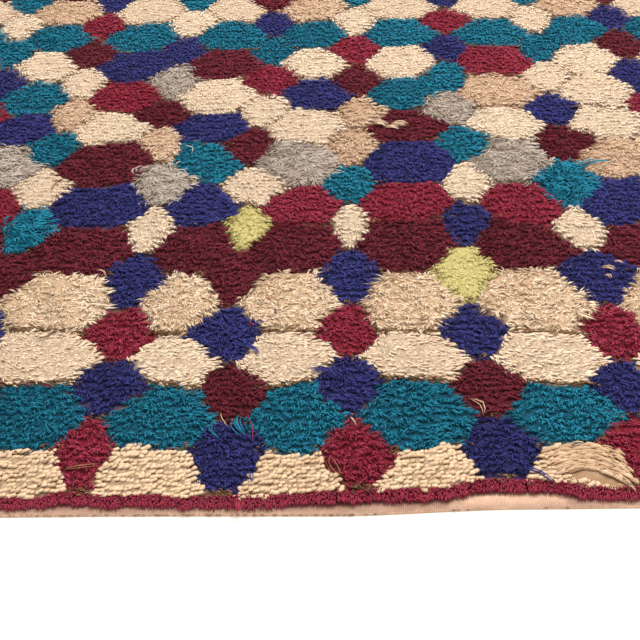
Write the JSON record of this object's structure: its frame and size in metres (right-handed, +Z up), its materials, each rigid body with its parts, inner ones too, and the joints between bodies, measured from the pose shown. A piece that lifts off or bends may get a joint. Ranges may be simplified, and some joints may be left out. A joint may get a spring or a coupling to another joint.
{
  "type": "azilal rug",
  "caption": "Flat hand-knotted wool pile rug with a lattice of hexagons and diamonds in dyed wools, a crimson border row and a bare woven strip at each end.",
  "frame": {"origin": "on the surface that the rug lies on, under the middle of the rug", "axes": "+X across the rug, +Y along it towards the far end, +Z up"},
  "size_m": [1.4122, 2.14, 0.015],
  "materials": {
    "rug": "hand-knotted dyed wool pile, matt and furry"
  },
  "bodies": {
    "root": {"rug": "rug"}
  },
  "joints": []
}
